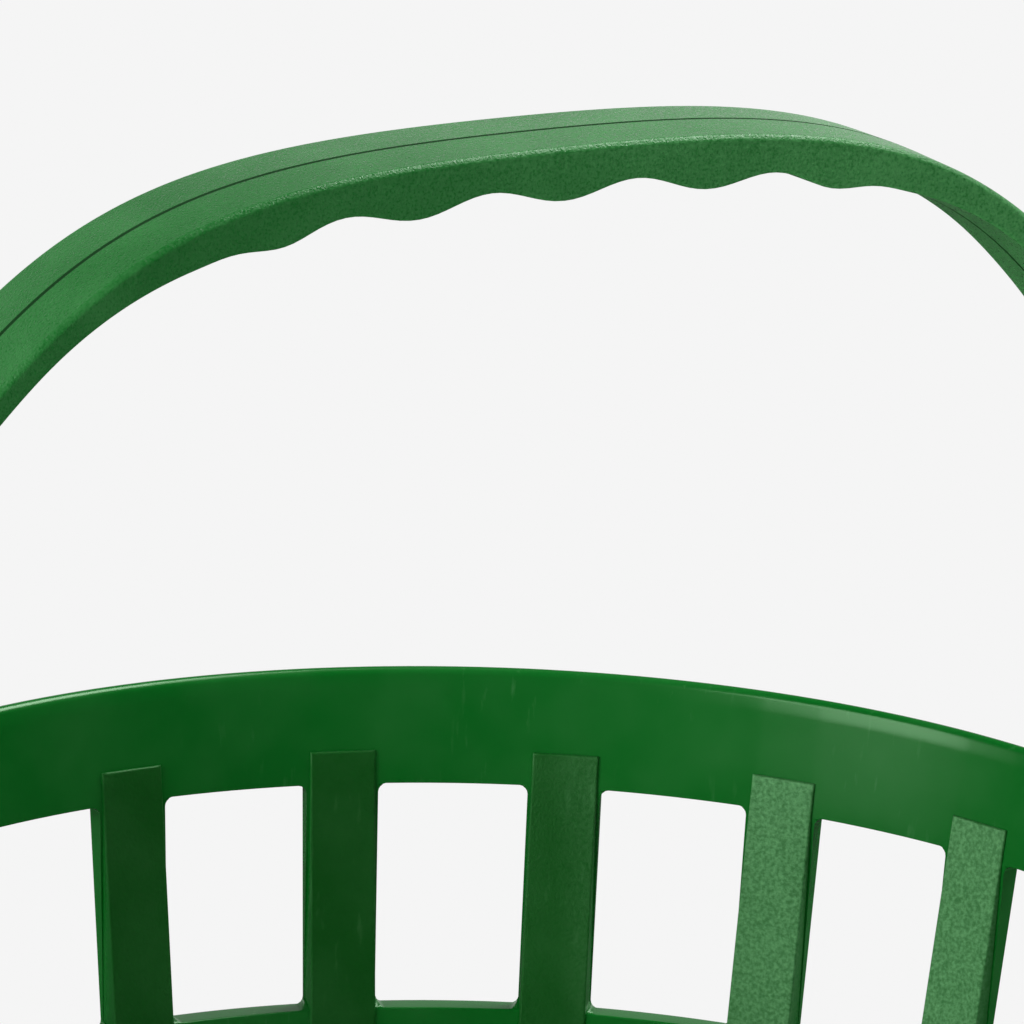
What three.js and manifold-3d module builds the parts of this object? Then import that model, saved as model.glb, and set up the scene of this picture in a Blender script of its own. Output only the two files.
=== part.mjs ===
// Range ball basket: a round, tapered, open-sided basket moulded in one, with an upright carrying
// handle that swings on two snap-in pins through bosses in the rim band.
// Millimetres, +Z up. The origin is the centre of the foot ring, on the surface it stands on.
// The handle lies in the XZ plane at rest, and its two pivots are on a line along X.

import * as THREE from 'three';
import { mergeVertices } from 'three/addons/utils/BufferGeometryUtils.js';
import Module from 'manifold-3d';

const wasm = await Module();
wasm.setup();

// Basket, from the rim down
const rimRadius = 118; // outside of the rim at its top
const draftAngle = 8.95; // degrees that the wall leans in towards the foot, so that baskets nest
const bandHeight = 18.2; // plain band above the top row of windows
const bandThickness = 2.2;
const bandTaper = 3; // the band thins above the windows over this height
const tierCount = 4; // rows of windows
const windowHeight = 35.8;
const windowCorner = 1.3;
const hoopHeight = 6; // ring under each row of windows
const hoopProud = 0.6; // how far a hoop stands out from the slats
const skirtHeight = 23.6; // from the foot to the lowest windows
const skirtThickness = 2.6;

// Slats between the windows, each with a raised rib on its inner face
const slatCount = 20;
const slatWidth = 11.6;
const slatThickness = 3.5;
const ribWidth = 10.4; // across its face
const ribProud = 0.6;
const ribDraft = 9; // degrees that a rib's sides spread towards its root
const ribEdge = 0.3; // chamfer along the rib
const ribRise = 5.4; // how far a rib climbs up the band past the windows
const ribRoot = 0.9; // depth of the rib's root in the slat

// Floor with drain slots
const floorLevel = 3; // underside of the floor above the foot
const floorThickness = 2.4;
const spokeWidth = 5;
const slotCorner = 1.8;
const floorRings = [
  { slots: 10, inner: 16, outer: 40 },
  { slots: 20, inner: 46, outer: 76 },
];

// Pivots
const pivotDepth = 10; // centre of the pivot below the rim
const bossRadius = 9;
const bossProud = 3.9; // boss face beyond the band, measured at the pivot's height
const bossInset = 1.3; // boss face inside the band, measured at the pivot's height
const pinRadius = 3.9;
const runningGap = 0.3; // between any two pieces that touch or turn on each other

// Handle: outer face of the arch, half of it, from the crown to the leg
const handleWidth = 20.3;
const handleRise = 115.3; // crown above the rim
const crownReach = 46.7; // length of the first curve's tangent along the crown
const shoulderInset = 33.8; // shoulder point in from the leg's outer face
const shoulderDrop = 27.6; // shoulder point below the crown
const shoulderAngle = 45.6; // degrees that the arch slopes at the shoulder
const shoulderPull = 33.5; // tangent lengths at the shoulder and down the leg
const legPull = 33;
const legThickness = 3.9;
const handleEdge = 0.8; // bevel along the handle's edges
const handleDraft = 0.25; // how far each face swells at the parting line along the middle
const sideDraft = 1; // how much narrower the inner face is than the outer one, on each side

// Finger grip under the crown, measured along the arch from its middle
const gripThickness = 6.75;
const gripWave = 1.15; // height of a bump above the mean, and depth of a finger recess below it
const fingerPitch = 24.2;
const waveFull = 42; // the wave is full this far out, and gone at waveEnd
const waveEnd = 62;
const taperStart = 35; // the grip thins down to the leg between these two
const taperEnd = 95;

// Snap-in pivot pin
const pinHeadRadius = 7.5;
const pinHeadThickness = 2.6;
const pinHeadRound = 1.2;
const pinBarbRadius = 5.2;
const pinBarbLength = 3;
const pinTipRadius = 3.2;
const pinSlot = 1.5;
const pinSlotDepth = 7;

// Fineness of the facets
const ringSegments = 60;
const rimSteps = 4;
const headSteps = 3;
const cornerSegments = 1;
const boreSegments = 20;
const archStep = 6.2; // along the outer face
const gripStep = 3; // along the underside

// How far a cutter passes through the faces that it cuts
const cutMargin = 10;

// Sizes that follow from the ones above
const tierPitch = windowHeight + hoopHeight;
const rimHeight = skirtHeight + tierCount * tierPitch - hoopHeight + bandHeight;
const bandBottom = rimHeight - bandHeight;
const draft = Math.tan(THREE.MathUtils.degToRad(draftAngle));
const pivotHeight = rimHeight - pivotDepth;
const slatAngle = (2 * Math.PI) / slatCount;
const boreRadius = pinRadius + runningGap;
const bandRadius = (z) => rimRadius - (rimHeight - z) * draft;
const innerRadius = (z) => bandRadius(z) - bandThickness;
const slatRadius = (z) => innerRadius(z) + slatThickness;
const bossFace = bandRadius(pivotHeight) + bossProud;
const bossBack = innerRadius(pivotHeight) - bossInset;
const legInner = bossFace + runningGap;
const legOuter = legInner + legThickness;

// Solids from geometries, and back

function solid(geometry) {
  geometry.deleteAttribute('normal');
  geometry.deleteAttribute('uv');
  const merged = mergeVertices(geometry, 1e-4);
  const mesh = new wasm.Mesh({
    numProp: 3,
    vertProperties: new Float32Array(merged.attributes.position.array),
    triVerts: new Uint32Array(merged.index.array),
  });
  return new wasm.Manifold(mesh);
}

function geometryOf(body) {
  const mesh = body.getMesh();
  const geometry = new THREE.BufferGeometry();
  geometry.setAttribute('position', new THREE.BufferAttribute(mesh.vertProperties, 3));
  geometry.setIndex(new THREE.BufferAttribute(mesh.triVerts, 1));
  geometry.computeVertexNormals();
  return geometry;
}

// A revolved solid on the Z axis. The profile is a list of [radius, z], walked with the
// material on its left.
function revolve(profile, segments) {
  const points = profile.map(([r, z]) => new THREE.Vector2(r, z));
  const geometry = new THREE.LatheGeometry(points, segments);
  geometry.rotateX(Math.PI / 2);
  return geometry;
}

// A polygon whose corners are rounded, as a shape.
function roundedOutline(corners, radius) {
  const shape = new THREE.Shape();
  corners.forEach((corner, i) => {
    const before = corners[(i + corners.length - 1) % corners.length];
    const after = corners[(i + 1) % corners.length];
    const start = corner.clone().add(before.clone().sub(corner).setLength(radius));
    const end = corner.clone().add(after.clone().sub(corner).setLength(radius));
    if (i === 0) {
      shape.moveTo(start.x, start.y);
    } else {
      shape.lineTo(start.x, start.y);
    }
    shape.quadraticCurveTo(corner.x, corner.y, end.x, end.y);
  });
  shape.closePath();
  return shape;
}

// Turns a shape drawn as (across, up) and extruded outwards, so that it points along +X.
const facingOut = new THREE.Matrix4().makeBasis(
  new THREE.Vector3(0, 1, 0),
  new THREE.Vector3(0, 0, 1),
  new THREE.Vector3(1, 0, 0),
);

// Basket

const hoopTops = Array.from({ length: tierCount }, (_, tier) => skirtHeight + tier * tierPitch);

// The wall's section, with its hoops and its rounded rim.
function wallProfile() {
  const profile = [
    [innerRadius(0), 0],
    [innerRadius(0) + skirtThickness, 0],
  ];
  hoopTops.forEach((top, tier) => {
    const bottom = top - hoopHeight;
    const below = tier === 0 ? innerRadius(bottom) + skirtThickness : slatRadius(bottom);
    profile.push([below, bottom]);
    profile.push([slatRadius(bottom) + hoopProud, bottom]);
    profile.push([slatRadius(top) + hoopProud, top]);
    profile.push([slatRadius(top), top]);
  });
  profile.push([slatRadius(bandBottom), bandBottom]);
  profile.push([bandRadius(bandBottom + bandTaper), bandBottom + bandTaper]);
  const round = bandThickness / 2;
  const centre = bandRadius(rimHeight) - round;
  for (let i = 0; i <= rimSteps; i += 1) {
    const angle = (Math.PI * i) / rimSteps;
    profile.push([centre + round * Math.cos(angle), rimHeight - round + round * Math.sin(angle)]);
  }
  profile.push(profile[0]);
  return profile;
}

// The cutter for one window, between two slats and two hoops. Its sides are square to the slats'
// faces, so it widens outwards.
function windowCutter(tier, index) {
  const bottom = hoopTops[tier];
  const top = bottom + windowHeight;
  const spread = Math.tan(slatAngle / 2);
  const halfWidth = (r) => r * spread - slatWidth / 2 / Math.cos(slatAngle / 2);
  const outline = roundedOutline(
    [
      new THREE.Vector2(-halfWidth(innerRadius(bottom)), bottom),
      new THREE.Vector2(halfWidth(innerRadius(bottom)), bottom),
      new THREE.Vector2(halfWidth(innerRadius(top)), top),
      new THREE.Vector2(-halfWidth(innerRadius(top)), top),
    ],
    windowCorner,
  );
  const reach = slatThickness + hoopProud + cutMargin;
  const geometry = new THREE.ExtrudeGeometry(outline, {
    depth: 2 * reach,
    bevelEnabled: false,
    curveSegments: cornerSegments,
  });
  geometry.applyMatrix4(facingOut);
  geometry.translate(slatRadius((bottom + top) / 2) - reach, 0, 0);
  const { position } = geometry.attributes;
  for (let i = 0; i < position.count; i += 1) {
    const beyond = position.getX(i) - innerRadius(position.getZ(i));
    position.setY(i, position.getY(i) + Math.sign(position.getY(i)) * beyond * spread);
  }
  geometry.rotateZ((index + 0.5) * slatAngle);
  return solid(geometry);
}

// The raised rib on the inner face of one slat. Under a pivot it stops short of the boss.
function slatRib(index) {
  const underPivot = (2 * index) % slatCount === 0;
  const bottom = floorLevel + floorThickness / 2;
  const top = underPivot ? pivotHeight - bossRadius : bandBottom + ribRise;
  const spread = Math.tan(THREE.MathUtils.degToRad(ribDraft));
  const edge = (depth, z) => [innerRadius(z) + depth, ribWidth / 2 + (ribProud + depth) * spread, z];
  const oneSide = [
    edge(ribRoot, bottom),
    edge(ribRoot, top),
    edge(ribEdge - ribProud, bottom),
    edge(ribEdge - ribProud, top),
    [innerRadius(bottom) - ribProud, ribWidth / 2 - ribEdge, bottom],
    [innerRadius(top) - ribProud, ribWidth / 2 - ribEdge, top - ribEdge],
  ];
  const corners = oneSide.flatMap(([x, y, z]) => [
    [x, y, z],
    [x, -y, z],
  ]);
  return wasm.Manifold.hull(corners).rotate([0, 0, THREE.MathUtils.radToDeg(index * slatAngle)]);
}

// The floor plate, with rings of drain slots between spokes.
function floorPlate() {
  const top = floorLevel + floorThickness;
  const edge = (z) => innerRadius(z) + skirtThickness / 2;
  let plate = solid(
    revolve([[0, floorLevel], [edge(floorLevel), floorLevel], [edge(top), top], [0, top]], ringSegments),
  );
  floorRings.forEach(({ slots, inner, outer }) => {
    const half = Math.PI / slots;
    const halfWidth = (r) => r * Math.tan(half) - spokeWidth / 2 / Math.cos(half);
    const outline = roundedOutline(
      [
        new THREE.Vector2(inner, -halfWidth(inner)),
        new THREE.Vector2(outer, -halfWidth(outer)),
        new THREE.Vector2(outer, halfWidth(outer)),
        new THREE.Vector2(inner, halfWidth(inner)),
      ],
      Math.min(slotCorner, 0.9 * halfWidth(inner)),
    );
    for (let i = 0; i < slots; i += 1) {
      const geometry = new THREE.ExtrudeGeometry(outline, {
        depth: floorThickness + 2 * cutMargin,
        bevelEnabled: false,
        curveSegments: cornerSegments,
      });
      geometry.translate(0, 0, floorLevel - cutMargin);
      geometry.rotateZ((i + 0.5) * 2 * half);
      plate = plate.subtract(solid(geometry));
    }
  });
  return plate;
}

// A round bar along X between two planes.
function barAlongX(radius, from, to) {
  const geometry = new THREE.CylinderGeometry(radius, radius, to - from, boreSegments);
  geometry.rotateZ(-Math.PI / 2);
  geometry.translate((from + to) / 2, 0, pivotHeight);
  return solid(geometry);
}

function makeBasket() {
  let body = solid(revolve(wallProfile(), ringSegments));
  for (let tier = 0; tier < tierCount; tier += 1) {
    for (let i = 0; i < slatCount; i += 1) {
      body = body.subtract(windowCutter(tier, i));
    }
  }
  for (let i = 0; i < slatCount; i += 1) {
    body = body.add(slatRib(i));
  }
  body = body.add(floorPlate());
  [-1, 1].forEach((side) => {
    body = body.add(barAlongX(bossRadius, ...[side * bossBack, side * bossFace].sort((a, b) => a - b)));
    const reach = [side * (bossBack - cutMargin), side * (bossFace + cutMargin)];
    body = body.subtract(barAlongX(boreRadius, ...reach.sort((a, b) => a - b)));
  });
  return geometryOf(body);
}

// Handle, drawn from the rim plane with the pivots below it

function archPath() {
  const slope = THREE.MathUtils.degToRad(shoulderAngle);
  const along = new THREE.Vector2(Math.cos(slope), -Math.sin(slope));
  const crown = new THREE.Vector2(0, handleRise);
  const shoulder = new THREE.Vector2(legOuter - shoulderInset, handleRise - shoulderDrop);
  const legTop = new THREE.Vector2(legOuter, 0);
  const path = new THREE.CurvePath();
  path.add(
    new THREE.CubicBezierCurve(
      crown,
      new THREE.Vector2(crownReach, handleRise),
      shoulder.clone().addScaledVector(along, -shoulderPull),
      shoulder,
    ),
  );
  path.add(
    new THREE.CubicBezierCurve(
      shoulder,
      shoulder.clone().addScaledVector(along, shoulderPull),
      new THREE.Vector2(legOuter, legPull),
      legTop,
    ),
  );
  path.add(new THREE.LineCurve(legTop, new THREE.Vector2(legOuter, -pivotDepth)));
  return path;
}

const easeDown = (u, from, to) =>
  0.5 + 0.5 * Math.cos(Math.PI * THREE.MathUtils.clamp((u - from) / (to - from), 0, 1));

// Thickness of the handle at a distance along the arch from its crown.
function thicknessAt(u) {
  const mean = legThickness + (gripThickness - legThickness) * easeDown(u, taperStart, taperEnd);
  return mean + gripWave * easeDown(u, waveFull, waveEnd) * Math.cos((2 * Math.PI * u) / fingerPitch);
}

// Points down one half of the arch, at a depth under its outer face.
function archPoints(path, step, depthAt) {
  const length = path.getLength();
  const count = Math.round(length / step);
  return Array.from({ length: count + 1 }, (_, i) => {
    const tangent = path.getTangent(i === 0 ? 0 : i / count);
    if (i === 0) {
      tangent.set(1, 0);
    }
    const inward = new THREE.Vector2(tangent.y, -tangent.x);
    return path.getPoint(i / count).addScaledVector(inward, depthAt((i / count) * length));
  });
}

function archOutline() {
  const path = archPath();
  const outer = archPoints(path, archStep, () => 0);
  const inner = archPoints(path, gripStep, thicknessAt);
  const mirrored = (points) => points.slice(1).map((p) => new THREE.Vector2(-p.x, p.y));
  return [
    ...mirrored(outer).reverse(),
    ...outer,
    ...inner.slice().reverse(),
    ...mirrored(inner),
  ];
}

// The strap, extruded across its width in two halves that swell towards the parting line. Its
// inner face is narrower than its outer one.
function strap() {
  const corners = archOutline();
  const outerCount = 2 * Math.round(archPath().getLength() / archStep) + 1;
  const outline = new THREE.Shape(corners);
  const geometry = new THREE.ExtrudeGeometry(outline, {
    depth: handleWidth - 2 * handleEdge,
    steps: 2,
    bevelThickness: handleEdge,
    bevelSize: handleEdge,
    bevelOffset: -handleEdge,
    bevelSegments: 1,
    curveSegments: 1,
  });
  geometry.translate(0, 0, handleEdge - handleWidth / 2);
  geometry.rotateX(Math.PI / 2);
  geometry.deleteAttribute('normal');
  geometry.deleteAttribute('uv');
  const merged = mergeVertices(geometry, 1e-4);
  merged.computeVertexNormals();
  const { position, normal } = merged.attributes;
  const innerScale = 1 - (2 * sideDraft) / handleWidth;
  for (let i = 0; i < position.count; i += 1) {
    const here = new THREE.Vector2(position.getX(i), position.getZ(i));
    const distances = corners.map((corner) => corner.distanceTo(here));
    if (distances.indexOf(Math.min(...distances)) >= outerCount) {
      position.setY(i, position.getY(i) * innerScale);
    }
    if (Math.abs(position.getY(i)) < handleEdge) {
      const swell = handleDraft * THREE.MathUtils.clamp(position.getZ(i) / legPull, 0, 1);
      position.setX(i, position.getX(i) + swell * normal.getX(i));
      position.setZ(i, position.getZ(i) + swell * normal.getZ(i));
    }
  }
  return solid(merged);
}

function makeHandle() {
  let body = strap();
  [-1, 1].forEach((side) => {
    const faces = [side * legInner, side * legOuter].sort((a, b) => a - b);
    const eye = barAlongX(handleWidth / 2, ...faces).translate([0, 0, -rimHeight]);
    const reach = [side * (legInner - cutMargin), side * (legOuter + cutMargin)];
    const bore = barAlongX(boreRadius, ...reach.sort((a, b) => a - b)).translate([0, 0, -rimHeight]);
    body = body.add(eye).subtract(bore);
  });
  return geometryOf(body);
}

// Pivot pin, drawn along Z with its head up and the head's underside at zero

function makePin() {
  const grip = legOuter + runningGap - (bossBack - runningGap);
  const round = Array.from({ length: headSteps + 1 }, (_, i) => {
    const angle = (Math.PI / 2) * (i / headSteps);
    return [
      pinHeadRadius - pinHeadRound * (1 - Math.cos(angle)),
      pinHeadThickness - pinHeadRound * (1 - Math.sin(angle)),
    ];
  });
  const profile = [
    [0, -grip - pinBarbLength],
    [pinTipRadius, -grip - pinBarbLength],
    [pinBarbRadius, -grip - pinBarbLength / 4],
    [pinBarbRadius, -grip],
    [pinRadius, -grip],
    [pinRadius, 0],
    [pinHeadRadius, 0],
    ...round,
    [0, pinHeadThickness],
  ];
  const slot = new THREE.BoxGeometry(pinSlot, 2 * pinBarbRadius + cutMargin, 2 * pinSlotDepth);
  slot.translate(0, 0, -grip - pinBarbLength);
  return geometryOf(solid(revolve(profile, boreSegments)).subtract(solid(slot)));
}

// Materials

const basketPlastic = new THREE.MeshStandardMaterial({ color: 0x2f7a3c, roughness: 0.38, metalness: 0 });
const handlePlastic = new THREE.MeshStandardMaterial({ color: 0x357f44, roughness: 0.5, metalness: 0 });
const pinPlastic = new THREE.MeshStandardMaterial({ color: 0x2b6f38, roughness: 0.42, metalness: 0 });

function named(name, geometry, material) {
  const mesh = new THREE.Mesh(geometry, material);
  mesh.name = name;
  return mesh;
}

// Assembly

const rangeBallBasket = new THREE.Group();
rangeBallBasket.add(named('basket', makeBasket(), basketPlastic));

const rim = new THREE.Group();
rim.position.z = rimHeight;
rim.add(named('handle', makeHandle(), handlePlastic));
['left', 'right'].forEach((sideName) => {
  const side = sideName === 'left' ? -1 : 1;
  const pin = named(`pivot_pin_${sideName}`, makePin(), pinPlastic.clone());
  pin.rotation.y = (side * Math.PI) / 2;
  pin.position.set(side * (legOuter + runningGap), 0, -pivotDepth);
  rim.add(pin);
});
rangeBallBasket.add(rim);

export default rangeBallBasket;
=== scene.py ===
import bisect
import math

import bmesh
import bpy
from mathutils import Matrix, Vector, geometry


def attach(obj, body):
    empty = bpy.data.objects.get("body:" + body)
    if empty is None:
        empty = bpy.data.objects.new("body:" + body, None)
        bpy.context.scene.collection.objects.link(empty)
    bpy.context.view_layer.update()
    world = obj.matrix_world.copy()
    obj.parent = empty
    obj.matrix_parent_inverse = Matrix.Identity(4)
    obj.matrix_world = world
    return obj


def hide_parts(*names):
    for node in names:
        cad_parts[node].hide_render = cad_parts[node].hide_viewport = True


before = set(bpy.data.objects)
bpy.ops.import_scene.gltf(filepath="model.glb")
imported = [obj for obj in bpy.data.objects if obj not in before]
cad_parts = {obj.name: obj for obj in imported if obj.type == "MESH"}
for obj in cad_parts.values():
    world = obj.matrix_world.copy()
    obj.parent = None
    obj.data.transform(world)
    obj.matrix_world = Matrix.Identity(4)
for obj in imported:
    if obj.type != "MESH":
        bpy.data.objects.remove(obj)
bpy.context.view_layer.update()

# Everything is drawn in millimetres and brought to metres when it becomes an object
mm = 0.001
fullTurn = 2 * math.pi
hair = 0.01  # two places closer than this count as one
creaseAngle = math.radians(30)  # edges sharper than this are rounded
sharpAngle = math.radians(50)  # and those sharper than this stay sharp in shading

scene = bpy.context.scene
scene.view_settings.view_transform = "Standard"


def clamp(value, low, high):
    return max(low, min(high, value))


def easeDown(u, start, end):
    return 0.5 + 0.5 * math.cos(math.pi * clamp((u - start) / (end - start), 0, 1))


def everything(bm):
    return bm.verts[:] + bm.edges[:] + bm.faces[:]


def meshOf(bm, name):
    mesh = bpy.data.meshes.new(name)
    bm.to_mesh(mesh)
    bm.free()
    return mesh


def pointsOf(made):
    return [g for g in made["geom"] if isinstance(g, bmesh.types.BMVert)]


def bevelEdges(bm, edges, width, segments):
    bmesh.ops.bevel(bm, geom=edges, offset=width, offset_type="OFFSET", segments=segments,
                    profile=0.5, affect="EDGES", material=-1, clamp_overlap=False)


def roundCorners(bm, verts, radius, segments):
    bmesh.ops.bevel(bm, geom=verts, offset=radius, offset_type="OFFSET", segments=segments,
                    profile=0.5, affect="VERTICES", material=-1)


def cutLine(bm, point, normal, clear=False):
    bmesh.ops.bisect_plane(bm, geom=everything(bm), dist=1e-4, plane_co=point,
                           plane_no=normal, clear_outer=clear)


def extruded(bm, faces, move):
    wanted = set(faces)
    edges = [e for e in bm.edges if wanted.intersection(e.link_faces)]
    made = bmesh.ops.extrude_face_region(bm, geom=faces + edges)
    bmesh.ops.translate(bm, verts=pointsOf(made), vec=move)


def edgeOut(bm, edges):
    return pointsOf(bmesh.ops.extrude_edge_only(bm, edges=edges))


def copied(bm, drawn, move):
    bmesh.ops.translate(bm, verts=pointsOf(bmesh.ops.duplicate(bm, geom=drawn)), vec=move)


def addRound(bm, mesh, turn):
    known = len(bm.verts)
    bm.from_mesh(mesh)
    bmesh.ops.rotate(bm, cent=(0, 0, 0), matrix=Matrix.Rotation(turn, 3, "Z"),
                     verts=bm.verts[known:])


def creases(bm, wanted):
    return [e for e in bm.edges if len(e.link_faces) == 2
            and e.calc_face_angle() > creaseAngle and wanted(e)]


# Cuts one closed mesh out of another
def carved(bm, cutter):
    pieces = []
    for name, drawn in (("body", bm), ("cutter", cutter)):
        pieces.append(bpy.data.objects.new(name, meshOf(drawn, name)))
        scene.collection.objects.link(pieces[-1])
    cut = pieces[0].modifiers.new("cut", "BOOLEAN")
    cut.object = pieces[1]
    result = bmesh.new()
    result.from_object(pieces[0], bpy.context.evaluated_depsgraph_get())
    for piece in pieces:
        bpy.data.objects.remove(piece)
    return result


def addPiece(name, bm, material, body, replaces):
    bmesh.ops.scale(bm, verts=bm.verts, vec=(mm, mm, mm))
    mesh = meshOf(bm, name)
    mesh.shade_smooth()
    mesh.set_sharp_from_angle(angle=sharpAngle)
    mesh.materials.append(material)
    piece = bpy.data.objects.new(name, mesh)
    scene.collection.objects.link(piece)
    weighted = piece.modifiers.new("even shading", "WEIGHTED_NORMAL")
    weighted.keep_sharp = True
    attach(piece, body)
    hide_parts(replaces)
    print(f"{name}: {len(mesh.polygons)} faces")
    return piece


# Nodes: feed fills a socket, and each of the others adds to a tree and gives back an output
def feed(tree, socket, value):
    if isinstance(value, bpy.types.NodeSocket):
        tree.links.new(value, socket)
    elif isinstance(value, tuple):
        socket.default_value = (*value, 1)
    else:
        socket.default_value = value


def calculated(tree, operation, first, second):
    node = tree.nodes.new("ShaderNodeMath")
    node.operation = operation
    feed(tree, node.inputs[0], first)
    feed(tree, node.inputs[1], second)
    return node.outputs[0]


def ramped(tree, value, start, end, toStart=0, toEnd=1, shape="LINEAR"):
    node = tree.nodes.new("ShaderNodeMapRange")
    node.interpolation_type = shape
    for socket, number in (("Value", value), ("From Min", start), ("From Max", end),
                           ("To Min", toStart), ("To Max", toEnd)):
        feed(tree, node.inputs[socket], number)
    return node.outputs["Result"]


def blended(tree, factor, first, second, kind="FLOAT"):
    node = tree.nodes.new("ShaderNodeMix")
    node.data_type = kind
    for socket, value in (("Factor", factor), ("A", first), ("B", second)):
        feed(tree, node.inputs[socket], value)
    return node.outputs["Result"]


def along(tree, axis, vector):
    node = tree.nodes.new("ShaderNodeSeparateXYZ")
    feed(tree, node.inputs[0], vector)
    return node.outputs[axis]


def layer(tree, title):
    node = tree.nodes.new("ShaderNodeAttribute")
    node.attribute_name = title
    return node.outputs["Fac"]


def noise(tree, place, size, detail, stretch=(1, 1, 1)):
    spaced = tree.nodes.new("ShaderNodeMapping")
    spaced.inputs["Scale"].default_value = [1 / (size * mm * part) for part in stretch]
    node = tree.nodes.new("ShaderNodeTexNoise")
    node.inputs["Scale"].default_value = 1
    node.inputs["Detail"].default_value = detail
    feed(tree, spaced.inputs["Vector"], place)
    feed(tree, node.inputs["Vector"], spaced.outputs["Vector"])
    return node.outputs["Fac"]


# Plastics

# Each plastic's mottle grows paler along X, from its own level up to a painted sheen on the right
# side, where the light falls and glances
plastics = {
    "basket": {"colour": (0.003, 0.165, 0.016), "textured": (0.001, 0.11, 0.006),
               "pale": (0.16, 0.46, 0.18), "specular": 0.5, "sheen": (0.6, 1, 0.62),
               "roughness": 0.24, "grainRoughness": 0.5, "patchy": 0.04,
               "grainSize": 0.5, "grainDepth": 0.1, "mottleSize": 0.6, "mottle": 0.02,
               "paintedSheenMottle": 0.9, "paintedSheenFrom": 64, "paintedSheenFull": 90, "cloud": 0.07, "scuffs": 0.25},
    "handle": {"colour": (0.005, 0.15, 0.018), "textured": (0.005, 0.14, 0.017),
               "pale": (0.085, 0.38, 0.105), "specular": 0.42, "sheen": (0.75, 1, 0.77),
               "roughness": 0.35, "grainRoughness": 0.38, "patchy": 0.16,
               "grainSize": 0.36, "grainDepth": 0.12, "mottleSize": 0.45, "mottle": 0.25,
               "paintedSheenMottle": 1, "paintedSheenFrom": -60, "paintedSheenFull": 60, "cloud": 0.2, "scuffs": 0.2},
    "pin": {"colour": (0.004, 0.17, 0.018), "textured": (0.004, 0.17, 0.018),
            "pale": (0.08, 0.26, 0.09), "specular": 0.4, "sheen": (0.7, 1, 0.72),
            "roughness": 0.28, "grainRoughness": 0.28, "patchy": 0,
            "grainSize": 0.4, "grainDepth": 0.01, "mottleSize": 1, "mottle": 0.1,
            "paintedSheenMottle": 0.2, "paintedSheenFrom": -100, "paintedSheenFull": 100, "cloud": 0.15, "scuffs": 0.2},
}

# Sizes and noise levels of the marks that all three plastics have
marks = {
    "cloudSize": 14, "cloudLevels": (0.4, 0.75),
    "scuffSize": 1.6, "scuffStretch": (1, 1, 9), "scuffLevels": (0.62, 0.8),
    "scuffedSize": 25, "scuffedLevels": (0.5, 0.62),
    "speckleLevels": (0.35, 0.7), "leastSpeckle": 0.35,
    # painted shade in the parting-line groove: how dark it is, and how fully it covers
    "grooveShadeDark": 0.25, "grooveShadeCover": 0.9, "smoothBump": 0.06,
}


# The layer "grain" says where the mould was textured, and "seam" where the parting-line groove gets
# painted shade.
# The textured mottle is painted paler towards the right, as a painted sheen of the side where the
# light falls and glances.
def mouldedPlastic(name):
    look = plastics[name]
    material = bpy.data.materials.new(f"{name} plastic")
    material.use_nodes = True
    tree = material.node_tree
    shader = tree.nodes["Principled BSDF"]
    place = tree.nodes.new("ShaderNodeTexCoord").outputs["Object"]
    grain = layer(tree, "grain")

    # Painted sheen: along X the mottle rises from its real level to a paler painted sheen on the
    # lit right side
    paintedSheenMottle = ramped(tree, along(tree, "X", place), look["paintedSheenFrom"] * mm, look["paintedSheenFull"] * mm,
                  look["mottle"], look["paintedSheenMottle"])
    speckle = noise(tree, place, look["mottleSize"], 3)
    mottle = ramped(tree, speckle, *marks["speckleLevels"], marks["leastSpeckle"], 1)
    mottle = calculated(tree, "MULTIPLY", mottle, calculated(tree, "MULTIPLY", paintedSheenMottle, grain))
    cloud = ramped(tree, noise(tree, place, marks["cloudSize"], 2), *marks["cloudLevels"],
                   0, look["cloud"])
    scuffs = ramped(tree, noise(tree, place, marks["scuffSize"], 4, marks["scuffStretch"]),
                    *marks["scuffLevels"], 0, look["scuffs"])
    scuffed = ramped(tree, noise(tree, place, marks["scuffedSize"], 1), *marks["scuffedLevels"])
    paler = calculated(tree, "ADD", mottle, cloud)
    paler = calculated(tree, "ADD", paler, calculated(tree, "MULTIPLY", scuffs, scuffed))
    colour = blended(tree, grain, look["colour"], look["textured"], "RGBA")
    colour = blended(tree, paler, colour, look["pale"], "RGBA")
    # Painted shade: the parting-line groove is darkened, and its roughness is raised to the top
    grooveShadeColour = tuple(marks["grooveShadeDark"] * part for part in look["colour"])
    grooveShade = calculated(tree, "MULTIPLY", layer(tree, "seam"), marks["grooveShadeCover"])
    feed(tree, shader.inputs["Base Color"], blended(tree, grooveShade, colour, grooveShadeColour, "RGBA"))

    shader.inputs["Specular IOR Level"].default_value = look["specular"]
    shader.inputs["Specular Tint"].default_value = (*look["sheen"], 1)
    rough = ramped(tree, grain, 0, 1, look["roughness"], look["grainRoughness"])
    patchy = ramped(tree, speckle, *marks["speckleLevels"], -look["patchy"], look["patchy"])
    rough = calculated(tree, "ADD", rough, calculated(tree, "MULTIPLY", patchy, grain))
    feed(tree, shader.inputs["Roughness"], calculated(tree, "MAXIMUM", rough, grooveShade))
    bump = tree.nodes.new("ShaderNodeBump")
    bump.inputs["Distance"].default_value = look["grainDepth"] * mm
    feed(tree, bump.inputs["Strength"], ramped(tree, grain, 0, 1, marks["smoothBump"], 1))
    feed(tree, bump.inputs["Height"], noise(tree, place, look["grainSize"], 2))
    feed(tree, shader.inputs["Normal"], bump.outputs["Normal"])
    return material


basketPlastic = mouldedPlastic("basket")
handlePlastic = mouldedPlastic("handle")
pinPlastic = mouldedPlastic("pin")

# Basket

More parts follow.
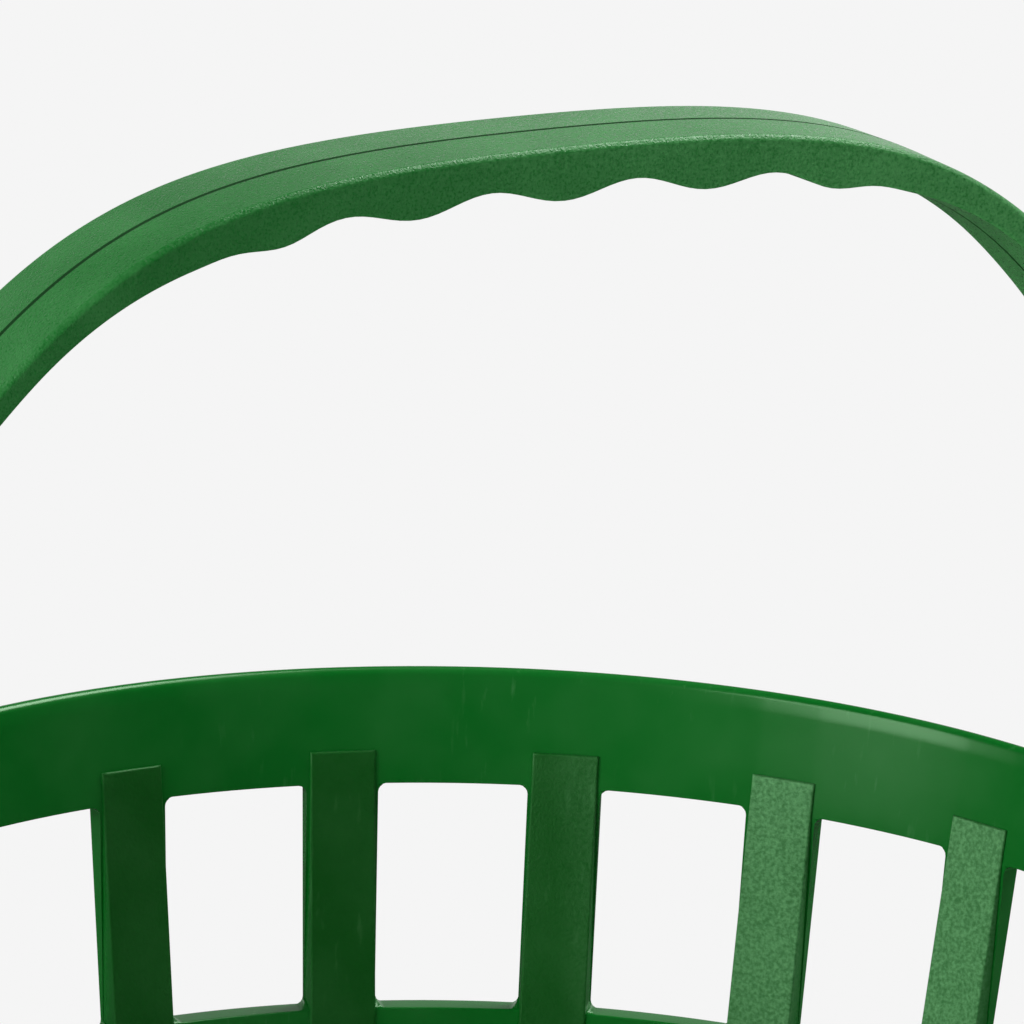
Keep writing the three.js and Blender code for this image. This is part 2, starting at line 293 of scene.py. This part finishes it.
basket = {
    "rimRadius": 118, "lean": 8.95, "bandHeight": 18.2, "bandThickness": 2.2,
    "tiers": 4, "windowHeight": 35.8, "windowCorner": 1.3,
    "hoopHeight": 6, "hoopProud": 0.6, "skirtHeight": 23.6, "skirtThickness": 2.6,
    "slats": 20, "slatWidth": 11.6, "slatThickness": 3.5, "bandTaper": 3,
    "ribWidth": 10.4, "ribProud": 0.6, "ribRise": 5.4, "ribBottom": 4.2, "ribRound": 0.32,
    "ribDraft": 9, "ledgeDepth": 2.8,  # the ledge beside a rib deepens down each window
    "drawnHalf": 18,  # half of a bay as drawn flat
    "cornerRoom": 3,  # beside a slat, where the drawing isn't stretched
    "rimRound": 0.8, "rimRoom": 1, "flareHeight": 3, "flare": 0.45, "flareCuts": 3,
    "hoopRound": 0.45, "edgeRound": 0.28,
    "pivotDepth": 10, "bossRadius": 9, "bossProud": 3.9, "bossInset": 1.3, "bossRound": 0.5,
    "boreRadius": 4.2, "boreReach": 40,  # the cutter's length, past the wall and the leg
}
tierPitch = basket["windowHeight"] + basket["hoopHeight"]
bandBottom = basket["skirtHeight"] + basket["tiers"] * tierPitch - basket["hoopHeight"]
rimHeight = bandBottom + basket["bandHeight"]
pivotHeight = rimHeight - basket["pivotDepth"]
bayAngle = fullTurn / basket["slats"]


def innerRadius(height):
    lean = math.tan(math.radians(basket["lean"]))
    return basket["rimRadius"] - basket["bandThickness"] - (rimHeight - height) * lean


hoopTops = [basket["skirtHeight"] + tier * tierPitch for tier in range(basket["tiers"])]


# How deep the ledge beside a rib lies: nothing at the top of each window, most at its foot
def ledgeAt(height):
    for top in hoopTops:
        up = height - top
        if 0 < up < basket["windowHeight"]:
            fall = basket["ledgeDepth"] * (1 - up / basket["windowHeight"])
            return fall * clamp(up / basket["windowCorner"], 0, 1)
    return 0


# A flat frame round one opening with round corners, centred on the origin
def framedOpening(bm, opening, corner, outside, cuts):
    across, up = opening
    size = Matrix.Diagonal((across, up, 1, 1))
    verts = bmesh.ops.create_grid(bm, x_segments=1, y_segments=1, size=1, matrix=size)["verts"]
    roundCorners(bm, verts, corner, 4)
    level = [e for e in bm.edges if all(abs(abs(v.co.y) - up) < 1e-4 for v in e.verts)]
    bmesh.ops.subdivide_edges(bm, edges=level, cuts=cuts)
    hole = bm.faces[:]
    for vert in edgeOut(bm, [e for e in bm.edges if e.is_boundary]):
        x, y = abs(vert.co.x), abs(vert.co.y)
        side = clamp((x - across + corner) / corner, 0, 1)
        end = clamp((y - up + corner) / corner, 0, 1)
        if side:
            x = across - corner + (outside[0] - across + corner) * side / max(side, end)
        if end:
            y = up - corner + (outside[1] - up + corner) * end / max(side, end)
        vert.co.x = math.copysign(x, vert.co.x)
        vert.co.y = math.copysign(y, vert.co.y)
    bmesh.ops.delete(bm, geom=hole, context="FACES")


# Across a bay the slat and the openings' corners keep their size, and the middle is stretched
def spread(x, keep, half, drawnHalf):
    size = abs(x)
    if size > keep:
        size = keep + (size - keep) * (half - keep) / (drawnHalf - keep)
    return math.copysign(size, x)


ribTops = {"plain": bandBottom + basket["ribRise"],
           "pivot": pivotHeight - basket["bossRadius"]}  # this rib stops under the boss


# One slat and half a window on each side of it, four windows high: x across, y up, z outwards
def drawBay(kind):
    half = basket["drawnHalf"]
    bm = bmesh.new()
    framedOpening(bm, (half - basket["slatWidth"] / 2, basket["windowHeight"] / 2),
                  basket["windowCorner"], (half, tierPitch / 2), 5)
    first = basket["skirtHeight"] + basket["windowHeight"] / 2
    bmesh.ops.translate(bm, verts=bm.verts, vec=(half, first, 0))
    drawn = everything(bm)
    for tier in range(1, basket["tiers"]):
        copied(bm, drawn, (0, tier * tierPitch, 0))
    copied(bm, everything(bm), (-2 * half, 0, 0))
    bmesh.ops.remove_doubles(bm, verts=bm.verts, dist=hair)
    for side in (-1, 1):
        cutLine(bm, (side * half, 0, 0), (side, 0, 0), clear=True)

    # the band and the skirt
    ends = [basket["skirtHeight"] - basket["hoopHeight"] / 2, bandBottom + basket["hoopHeight"] / 2]
    for level, target in zip(ends, (0, rimHeight)):
        edges = [e for e in bm.edges if all(abs(v.co.y - level) < hair for v in e.verts)]
        for vert in edgeOut(bm, edges):
            vert.co.y = target

    extruded(bm, bm.faces[:], (0, 0, basket["slatThickness"]))
    bmesh.ops.recalc_face_normals(bm, faces=bm.faces)
    for top in hoopTops:
        for level in (top, top - basket["hoopHeight"], top + basket["windowCorner"]):
            cutLine(bm, (0, level, 0), (0, 1, 0))
    for level in (bandBottom + basket["bandTaper"], bandBottom, *ribTops.values(),
                  basket["ribBottom"]):
        cutLine(bm, (0, level, 0), (0, 1, 0))
    flareStart = rimHeight - basket["flareHeight"]
    flareStep = (basket["flareHeight"] - basket["rimRoom"]) / (basket["flareCuts"] - 1)
    for step in range(basket["flareCuts"]):
        cutLine(bm, (0, flareStart + step * flareStep, 0), (0, 1, 0))
    for side in (-1, 1):
        cutLine(bm, (side * basket["ribWidth"] / 2, 0, 0), (1, 0, 0))

    def facing(outwards, low, high, reach=half):
        found = []
        for face in bm.faces:
            middle = face.calc_center_median()
            if face.normal.z * outwards > 0.9 and low < middle.y < high and abs(middle.x) < reach:
                found.append(face)
        return found

    for top in hoopTops:
        extruded(bm, facing(1, top - basket["hoopHeight"], top), (0, 0, basket["hoopProud"]))
    extruded(bm, facing(-1, basket["ribBottom"], ribTops[kind], basket["ribWidth"] / 2),
             (0, 0, -basket["ribProud"]))
    ribHalf, slatHalf = basket["ribWidth"] / 2, basket["slatWidth"] / 2
    for vert in bm.verts:
        x, height, out = vert.co
        if abs(out - basket["slatThickness"]) < hair:
            taper = clamp((height - bandBottom) / basket["bandTaper"], 0, 1)
            vert.co.z -= taper * (basket["slatThickness"] - basket["bandThickness"])
            if height < hoopTops[0] - basket["hoopHeight"] + hair:
                vert.co.z = basket["skirtThickness"]
        elif abs(out) < hair and ribHalf - hair < abs(x) < slatHalf + basket["windowCorner"]:
            vert.co.z = ledgeAt(height)
            if abs(x) < ribHalf + hair:
                slope = math.tan(math.radians(basket["ribDraft"]))
                vert.co.x += math.copysign(slope * (basket["ribProud"] + vert.co.z), x)
        if abs(out) < hair and height > flareStart:
            vert.co.z = basket["flare"] * ((height - flareStart) / basket["flareHeight"]) ** 2
    seams = [f for f in bm.faces if all(abs(v.co.x) > half - hair for v in f.verts)]
    bmesh.ops.delete(bm, geom=seams, context="FACES")
    bmesh.ops.recalc_face_normals(bm, faces=bm.faces)

    def between(low, high, axis):
        return lambda e: all(low < v.co[axis] < high for v in e.verts)

    onRim = between(rimHeight - hair, rimHeight + hair, 1)
    bevelEdges(bm, creases(bm, onRim), basket["rimRound"], 4)
    hoopFace = basket["slatThickness"] + basket["hoopProud"]
    onHoop = between(hoopFace - hair, hoopFace + hair, 2)
    bevelEdges(bm, creases(bm, onHoop), basket["hoopRound"], 3)
    onRib = between(-basket["ribProud"] - hair, -basket["ribProud"] + hair, 2)
    bevelEdges(bm, creases(bm, lambda e: e.is_convex and onRib(e)), basket["ribRound"], 3)
    onWall, belowFlare = between(-hair, hair, 2), between(-hair, flareStart + hair, 1)
    bevelEdges(bm, creases(bm, lambda e: e.is_convex and onWall(e) and belowFlare(e)),
               basket["edgeRound"], 2)

    grain = bm.verts.layers.float.new("grain")
    for vert in bm.verts:
        vert[grain] = clamp(-vert.co.z / basket["ribProud"], 0, 1)

    # round the cone: slats keep parallel sides, and ribs are flat
    for vert in bm.verts:
        x, height, out = vert.co
        outside = innerRadius(height) + basket["slatThickness"]
        keep = slatHalf + basket["cornerRoom"]
        bayHalf = outside * bayAngle / 2
        x = spread(x, keep, bayHalf, half)
        radius = innerRadius(height) + out
        square = clamp((bayHalf - abs(x)) / (bayHalf - keep), 0, 1)
        turn = x * (square / radius + (1 - square) / outside)
        curved = Vector((radius * math.cos(turn), radius * math.sin(turn), height))
        flat = Vector((radius, x, height))
        vert.co = curved.lerp(flat, clamp(-out / basket["ribProud"], 0, 1))
    return meshOf(bm, "bay")


bm = bmesh.new()
plainBay = drawBay("plain")
pivotBay = drawBay("pivot")
for index in range(basket["slats"]):
    atPivot = 2 * index % basket["slats"] == 0
    addRound(bm, pivotBay if atPivot else plainBay, index * bayAngle)
bmesh.ops.remove_doubles(bm, verts=bm.verts, dist=hair)
bmesh.ops.recalc_face_normals(bm, faces=bm.faces)


def pivotBores(radius):
    cutter = bmesh.new()
    for side in (-1, 1):
        place = Matrix.Translation((side * basket["rimRadius"], 0, pivotHeight))
        place = place @ Matrix.Rotation(math.radians(90), 4, "Y")
        bmesh.ops.create_cone(cutter, cap_ends=True, segments=48, radius1=radius,
                              radius2=radius, depth=basket["boreReach"], matrix=place)
    return cutter


bm = carved(bm, pivotBores(basket["boreRadius"]))
print("wall drawn")

# Floor of the basket: two rings of drain slots between spokes, drawn flat as the wall is

floorShape = {
    "underside": 3, "thickness": 2.4, "spokeWidth": 5, "slotCorner": 1.8, "edgeRound": 0.4,
    "hubRadius": 5, "edgeRadius": 85.4, "drawnHalf": 10,
    "mostKept": 0.8,  # share of a sector that may keep its size where spokes crowd
    "rings": [{"slots": 10, "inner": 16, "outer": 40, "frame": 3, "cuts": 5},
              {"slots": 20, "inner": 46, "outer": 76, "frame": 3, "cuts": 3}],
}


def drawSlots(ring):
    half, long = floorShape["drawnHalf"], (ring["outer"] - ring["inner"]) / 2
    bm = bmesh.new()
    framedOpening(bm, (half - floorShape["spokeWidth"] / 2, long), floorShape["slotCorner"],
                  (half, long + ring["frame"]), ring["cuts"])
    for vert in bm.verts:
        radius = vert.co.y + (ring["inner"] + ring["outer"]) / 2
        fromSpoke = math.copysign(half, vert.co.x) - vert.co.x
        sector = radius * math.pi / ring["slots"]
        keep = (floorShape["spokeWidth"] + floorShape["slotCorner"]) / 2
        keep = min(keep, floorShape["mostKept"] * sector)
        turn = spread(fromSpoke, keep, sector, half) / radius
        turn = math.copysign(math.pi / ring["slots"], vert.co.x) - turn
        vert.co = (radius * math.cos(turn), radius * math.sin(turn), 0)
    return meshOf(bm, "slots")


def openRing(bm, radius):
    return [e for e in bm.edges if e.is_boundary
            and all(abs(v.co.length - radius) < 5 * hair for v in e.verts)]


plate = bmesh.new()
for ring in floorShape["rings"]:
    sheet = drawSlots(ring)
    for index in range(ring["slots"]):
        addRound(plate, sheet, (index + 0.5) * fullTurn / ring["slots"])
bmesh.ops.remove_doubles(plate, verts=plate.verts, dist=hair)
hub = floorShape["rings"][0]["inner"] - floorShape["rings"][0]["frame"]
wide = floorShape["rings"][-1]["outer"] + floorShape["rings"][-1]["frame"]
for radius, target in ((hub, floorShape["hubRadius"]), (wide, floorShape["edgeRadius"])):
    bmesh.ops.scale(plate, verts=edgeOut(plate, openRing(plate, radius)),
                    vec=(target / radius,) * 3)
bmesh.ops.edgeloop_fill(plate, edges=openRing(plate, floorShape["hubRadius"]))
bmesh.ops.recalc_face_normals(plate, faces=plate.faces)
extruded(plate, plate.faces[:], (0, 0, floorShape["thickness"]))
bmesh.ops.recalc_face_normals(plate, faces=plate.faces)
bevelEdges(plate, creases(plate, lambda e: all(v.co.length < wide for v in e.verts)),
           floorShape["edgeRound"], 2)
bmesh.ops.translate(plate, verts=plate.verts, vec=(0, 0, floorShape["underside"]))
bm.from_mesh(meshOf(plate, "plate"))
print("floor drawn")


# A ring or pin turned on the hinge axis, from a profile of (distance along X, radius)
def turned(profile, side, steps=64):
    bm = bmesh.new()
    verts = [bm.verts.new((side * x, 0, radius)) for x, radius in profile]
    edges = [bm.edges.new(pair) for pair in zip(verts, verts[1:])]
    bmesh.ops.spin(bm, geom=verts + edges, axis=(1, 0, 0), cent=(0, 0, 0), angle=fullTurn,
                   steps=steps, use_merge=True)
    bmesh.ops.remove_doubles(bm, verts=bm.verts, dist=hair / 10)
    return bm


bandFace = basket["rimRadius"] - basket["pivotDepth"] * math.tan(math.radians(basket["lean"]))
bossFace = bandFace + basket["bossProud"]
bossBack = innerRadius(pivotHeight) - basket["bossInset"]
for side in (-1, 1):
    boss = turned([(bossBack, basket["boreRadius"]), (bossBack, basket["bossRadius"]),
                   (bossFace, basket["bossRadius"]), (bossFace, basket["boreRadius"]),
                   (bossBack, basket["boreRadius"])], side)
    bmesh.ops.recalc_face_normals(boss, faces=boss.faces)
    bevelEdges(boss, creases(boss, lambda e: True), basket["bossRound"], 3)
    bmesh.ops.translate(boss, verts=boss.verts, vec=(0, 0, pivotHeight))
    bm.from_mesh(meshOf(boss, "boss"))

addPiece("basketMoulding", bm, basketPlastic, "basket", "basket")

# Handle: a straight strap, bent onto the arch

handle = {
    "width": 20.3, "rise": 115.3, "crownReach": 46.7,
    "shoulderInset": 33.8, "shoulderDrop": 27.6, "shoulderAngle": 45.6,
    "shoulderPull": 33.5, "legPull": 33, "legThickness": 3.9, "runningGap": 0.3,
    "gripThickness": 6.75, "gripWave": 1.15, "fingerPitch": 24.2,
    "waveFull": 42, "waveEnd": 62, "taperStart": 35, "taperEnd": 92,
    "sideDraft": 0.3,  # the inner face is narrower on each side
    "crown": 0.25, "outerEdge": 0.65, "innerEdge": 0.35, "edgeRound": 0.25,
    "grooveWidth": 0.75, "grooveDepth": 0.3,
    "curvePoints": 200, "step": 1.5, "eyeSteps": 12, "drawnThickness": 10,
    "straightLeg": 12,  # the last stretch down to the pivot hangs plumb
}
legOuter = bossFace + handle["runningGap"] + handle["legThickness"]


# The outer face of half the arch, from its crown to the pivot, as points from above the rim
def archCurve():
    slope = math.radians(handle["shoulderAngle"])
    heading = Vector((math.cos(slope), -math.sin(slope)))
    crown = Vector((0, handle["rise"]))
    shoulder = Vector((legOuter - handle["shoulderInset"], handle["rise"] - handle["shoulderDrop"]))
    legTop = Vector((legOuter, 0))
    knots = [(crown, Vector((handle["crownReach"], handle["rise"])),
              shoulder - handle["shoulderPull"] * heading, shoulder),
             (shoulder, shoulder + handle["shoulderPull"] * heading,
              Vector((legOuter, handle["legPull"])), legTop)]
    points = []
    for knot in knots:
        points += geometry.interpolate_bezier(*knot, handle["curvePoints"])[:-1]
    return points + [legTop, Vector((legOuter, -basket["pivotDepth"]))]


arch = archCurve()
reached = [0]
for start, end in zip(arch, arch[1:]):
    reached.append(reached[-1] + (end - start).length)
archLength = reached[-1]


def archAt(u):
    near = min(max(bisect.bisect_right(reached, u), 1), len(arch) - 1)
    share = (u - reached[near - 1]) / (reached[near] - reached[near - 1])
    point = arch[near - 1].lerp(arch[near], share)
    run = [(arch[i + 1] - arch[i]).normalized() for i in (near - 1, min(near, len(arch) - 2))]
    heading = run[0].lerp(run[1], share).normalized()
    if u >= archLength - handle["straightLeg"]:
        heading = Vector((0, -1))
    return point, Vector((heading.y, -heading.x))


def gripThickness(u):
    mean = handle["legThickness"] + (handle["gripThickness"] - handle["legThickness"]) * easeDown(
        u, handle["taperStart"], handle["taperEnd"])
    wave = handle["gripWave"] * easeDown(u, handle["waveFull"], handle["waveEnd"])
    return mean + wave * math.cos(fullTurn * u / handle["fingerPitch"])


def drawHandle():
    half, thick = handle["width"] / 2, handle["drawnThickness"]
    bm = bmesh.new()
    # the section: y across, z inwards, with round edges and a groove along the middle of each face
    bmesh.ops.create_grid(bm, x_segments=1, y_segments=1, size=1,
                          matrix=Matrix.Diagonal((thick / 2, half, 1, 1)))
    for name, side in (("outerEdge", 1), ("innerEdge", -1)):
        roundCorners(bm, [v for v in bm.verts if v.co.x * side > 0], handle[name], 1)
    roundCorners(bm, bm.verts[:], handle["edgeRound"], 2)
    flats = [e for e in bm.edges if e.calc_length() > half]
    bmesh.ops.subdivide_edges(bm, edges=flats, cuts=5)
    seam, grain = (bm.verts.layers.float.new(name) for name in ("seam", "grain"))
    for vert in bm.verts:
        vert[grain] = 1
        middle = round(3 * abs(vert.co.y) / half)
        if middle < 3:
            vert.co.y = math.copysign((0, 0.5, 0.6)[middle] * handle["grooveWidth"], vert.co.y)
            # seam marks the middle of the groove, which the plastic darkens with painted shade
            vert[seam] = float(middle < 2)
            vert[grain] = 1 - vert[seam]
        if middle == 0:
            vert.co.x -= math.copysign(handle["grooveDepth"], vert.co.x)
    inside = [e for e in bm.edges if not e.is_boundary]
    bmesh.ops.delete(bm, geom=bm.faces[:], context="FACES_ONLY")
    bmesh.ops.delete(bm, geom=inside, context="EDGES")
    bmesh.ops.rotate(bm, cent=(0, 0, 0), matrix=Matrix.Rotation(math.radians(90), 3, "Y"),
                     verts=bm.verts)
    # drawn out along x, with a round eye at each end
    steps = round(archLength / handle["step"])
    step = archLength / steps
    total = archLength + handle["eyeSteps"] * step
    bmesh.ops.translate(bm, verts=bm.verts, vec=(-total, 0, thick / 2))
    bmesh.ops.spin(bm, geom=everything(bm), axis=(0, 0, 1), cent=(0, 0, 0), angle=0,
                   dvec=(step, 0, 0), steps=2 * (steps + handle["eyeSteps"]))
    for vert in bm.verts:
        u, across, depth = abs(vert.co.x), vert.co.y, vert.co.z
        inner = depth > thick / 2
        onArch = min(u, archLength)
        point, inwards = archAt(onArch)
        if inner:
            depth -= thick - gripThickness(onArch)
            across *= 1 - handle["sideDraft"] / half
        fade = clamp(point.y / handle["legPull"], 0, 1)
        swell = handle["crown"] * (1 - abs(across) / half) * fade
        depth += swell if inner else -swell
        place = point + depth * inwards
        if u > archLength:
            turn = math.radians(90) * (u - archLength) / (total - archLength)
            place.y -= abs(across) * math.sin(turn)
            across *= math.cos(turn)
        vert.co = (math.copysign(place.x, vert.co.x), across, place.y + rimHeight)
    bmesh.ops.remove_doubles(bm, verts=bm.verts, dist=hair / 2)
    bmesh.ops.recalc_face_normals(bm, faces=bm.faces)
    return carved(bm, pivotBores(basket["boreRadius"]))


addPiece("handleStrap", drawHandle(), handlePlastic, "handle", "handle")

# Snap-in pivot pins

pin = {
    "shankRadius": 3.9, "headRadius": 7.5, "headThickness": 2.6, "headRound": 1.2,
    "headSteps": 8, "barbRadius": 5.2, "barbLength": 3, "tipRadius": 3.2, "slot": 1.5,
    "slotDepth": 7, "edgeRound": 0.25,
}


def drawPin(side):
    head = legOuter + handle["runningGap"]
    neck = bossBack - handle["runningGap"]
    tip = neck - pin["barbLength"]
    profile = [(tip, 0), (tip, pin["tipRadius"]), (neck - pin["barbLength"] / 4, pin["barbRadius"]),
               (neck, pin["barbRadius"]), (neck, pin["shankRadius"]), (head, pin["shankRadius"]),
               (head, pin["headRadius"])]
    for index in range(pin["headSteps"] + 1):
        turn = math.radians(90) * index / pin["headSteps"]
        profile.append((head + pin["headThickness"] - pin["headRound"] * (1 - math.sin(turn)),
                        pin["headRadius"] - pin["headRound"] * (1 - math.cos(turn))))
    profile.append((head + pin["headThickness"], 0))
    bm = turned(profile, side)
    bmesh.ops.recalc_face_normals(bm, faces=bm.faces)
    bevelEdges(bm, creases(bm, lambda e: e.is_convex), pin["edgeRound"], 2)
    slot = bmesh.new()
    size = Matrix.Diagonal((2 * pin["slotDepth"], pin["slot"], 4 * pin["barbRadius"], 1))
    bmesh.ops.create_cube(slot, size=1, matrix=Matrix.Translation((side * tip, 0, 0)) @ size)
    bm = carved(bm, slot)
    bmesh.ops.translate(bm, verts=bm.verts, vec=(0, 0, pivotHeight))
    return bm


for sideName, side in (("left", -1), ("right", 1)):
    addPiece(f"pivotPin_{sideName}", drawPin(side), pinPlastic, "basket",
             f"pivot_pin_{sideName}")

# Camera: the photograph's angle, close framing on the handle and the far rim

cameraPlace = {"at": (-0.5909, -0.9692, 0.5867), "turn": -31.33, "down": 15.95,
               "roll": 2.202, "lens": 289.4}
camera = bpy.data.objects.new("camera", bpy.data.cameras.new("camera"))
scene.collection.objects.link(camera)
camera.data.sensor_width = 36
camera.data.lens = cameraPlace["lens"]
camera.matrix_world = (
    Matrix.Translation(cameraPlace["at"])
    @ Matrix.Rotation(math.radians(cameraPlace["turn"]), 4, "Z")
    @ Matrix.Rotation(math.radians(90 - cameraPlace["down"]), 4, "X")
    @ Matrix.Rotation(math.radians(cameraPlace["roll"]), 4, "Z"))
scene.camera = camera

# Floor and light

studio = {
    "floorSize": 8, "white": 0.913, "ambient": 0.14,
    "floorRoughness": 0.9, "floorSpecular": 0.2,
    "back": (0.52, 0.85, 0), "dim": 0.06,  # the room is dark but for the backdrop
    "backdropEdges": (-0.1, 0.5), "backdropTop": (0.05, 0.6),
    "shadowFade": (0.32, 0.5), "sheenFade": (0.8, 2),
}


# How far a point or direction lies towards the backdrop
def towardsBack(tree, vector):
    node = tree.nodes.new("ShaderNodeVectorMath")
    node.operation = "DOT_PRODUCT"
    node.inputs[1].default_value = studio["back"]
    feed(tree, node.inputs[0], vector)
    return node.outputs["Value"]


def rays(tree, kind):
    return tree.nodes.new("ShaderNodeLightPath").outputs[f"Is {kind} Ray"]


def seenDirectly(tree):
    return calculated(tree, "MAXIMUM", rays(tree, "Camera"), rays(tree, "Transmission"))


def paleFloor():
    material = bpy.data.materials.new("pale floor")
    material.use_nodes = True
    tree = material.node_tree
    shader = tree.nodes["Principled BSDF"]
    feed(tree, shader.inputs["Base Color"],
         blended(tree, rays(tree, "Glossy"), studio["white"], studio["dim"]))
    shader.inputs["Roughness"].default_value = studio["floorRoughness"]
    shader.inputs["Specular IOR Level"].default_value = studio["floorSpecular"]
    # plain paper takes over past the shadow, and where the plastic mirrors the backdrop's foot
    paper = tree.nodes.new("ShaderNodeEmission")
    paper.inputs["Color"].default_value = [studio["white"]] * 3 + [1]
    place = tree.nodes.new("ShaderNodeTexCoord").outputs["Object"]
    away = tree.nodes.new("ShaderNodeVectorMath")
    away.operation = "LENGTH"
    feed(tree, away.inputs[0], place)
    seen = ramped(tree, away.outputs["Value"], *studio["shadowFade"], shape="SMOOTHSTEP")
    seen = calculated(tree, "MULTIPLY", seen, seenDirectly(tree))
    sheen = ramped(tree, towardsBack(tree, place), *studio["sheenFade"], shape="SMOOTHSTEP")
    sheen = calculated(tree, "MULTIPLY", sheen, rays(tree, "Glossy"))
    cover = tree.nodes.new("ShaderNodeMixShader")
    for socket, value in zip(cover.inputs, (calculated(tree, "MAXIMUM", seen, sheen),
                                            shader.outputs[0], paper.outputs[0])):
        feed(tree, socket, value)
    feed(tree, tree.nodes["Material Output"].inputs["Surface"], cover.outputs[0])
    return material


def studioWorld():
    world = bpy.data.worlds.new("studio")
    world.use_nodes = True
    tree = world.node_tree
    background = tree.nodes["Background"]
    background.inputs["Color"].default_value = [studio["white"]] * 3 + [1]
    around = tree.nodes.new("ShaderNodeTexCoord").outputs["Generated"]
    backdrop = ramped(tree, towardsBack(tree, around), *studio["backdropEdges"],
                      studio["dim"], 1, "SMOOTHSTEP")
    above = ramped(tree, along(tree, "Z", around), *studio["backdropTop"], 1, studio["dim"])
    room = calculated(tree, "MULTIPLY", backdrop, above)
    room = blended(tree, rays(tree, "Glossy"), studio["ambient"], room)
    feed(tree, background.inputs["Strength"], blended(tree, seenDirectly(tree), room, 1.0))
    return world


bm = bmesh.new()
bmesh.ops.create_grid(bm, x_segments=1, y_segments=1, size=studio["floorSize"] / 2)
floorMesh = meshOf(bm, "floor")
floorMesh.materials.append(paleFloor())
floor = bpy.data.objects.new("floor", floorMesh)
scene.collection.objects.link(floor)
scene.world = studioWorld()

# The front softbox only fills, and no plastic mirrors it
softboxes = {
    "key": {"at": (-1.473, -0.026, 0.825), "size": (0.95, 1.2), "watts": 19, "mirrored": True},
    "top": {"at": (1.14, 0.19, 1.72), "size": (1.0, 1.0), "watts": 30, "mirrored": True},
    "front": {"at": (-0.3, -1.7, 0.23), "size": (1.6, 0.3), "watts": 3, "mirrored": False},
}
aimHeight = 0.2
for name, box in softboxes.items():
    lamp = bpy.data.lights.new(name, "AREA")
    lamp.shape = "RECTANGLE"
    lamp.size, lamp.size_y = box["size"]
    lamp.energy = box["watts"]
    holder = bpy.data.objects.new(name, lamp)
    holder.location = box["at"]
    aim = Vector((0, 0, aimHeight)) - holder.location
    holder.rotation_euler = aim.to_track_quat("-Z", "Y").to_euler()
    holder.visible_camera = False
    holder.visible_glossy = box["mirrored"]
    scene.collection.objects.link(holder)
print("studio lit")
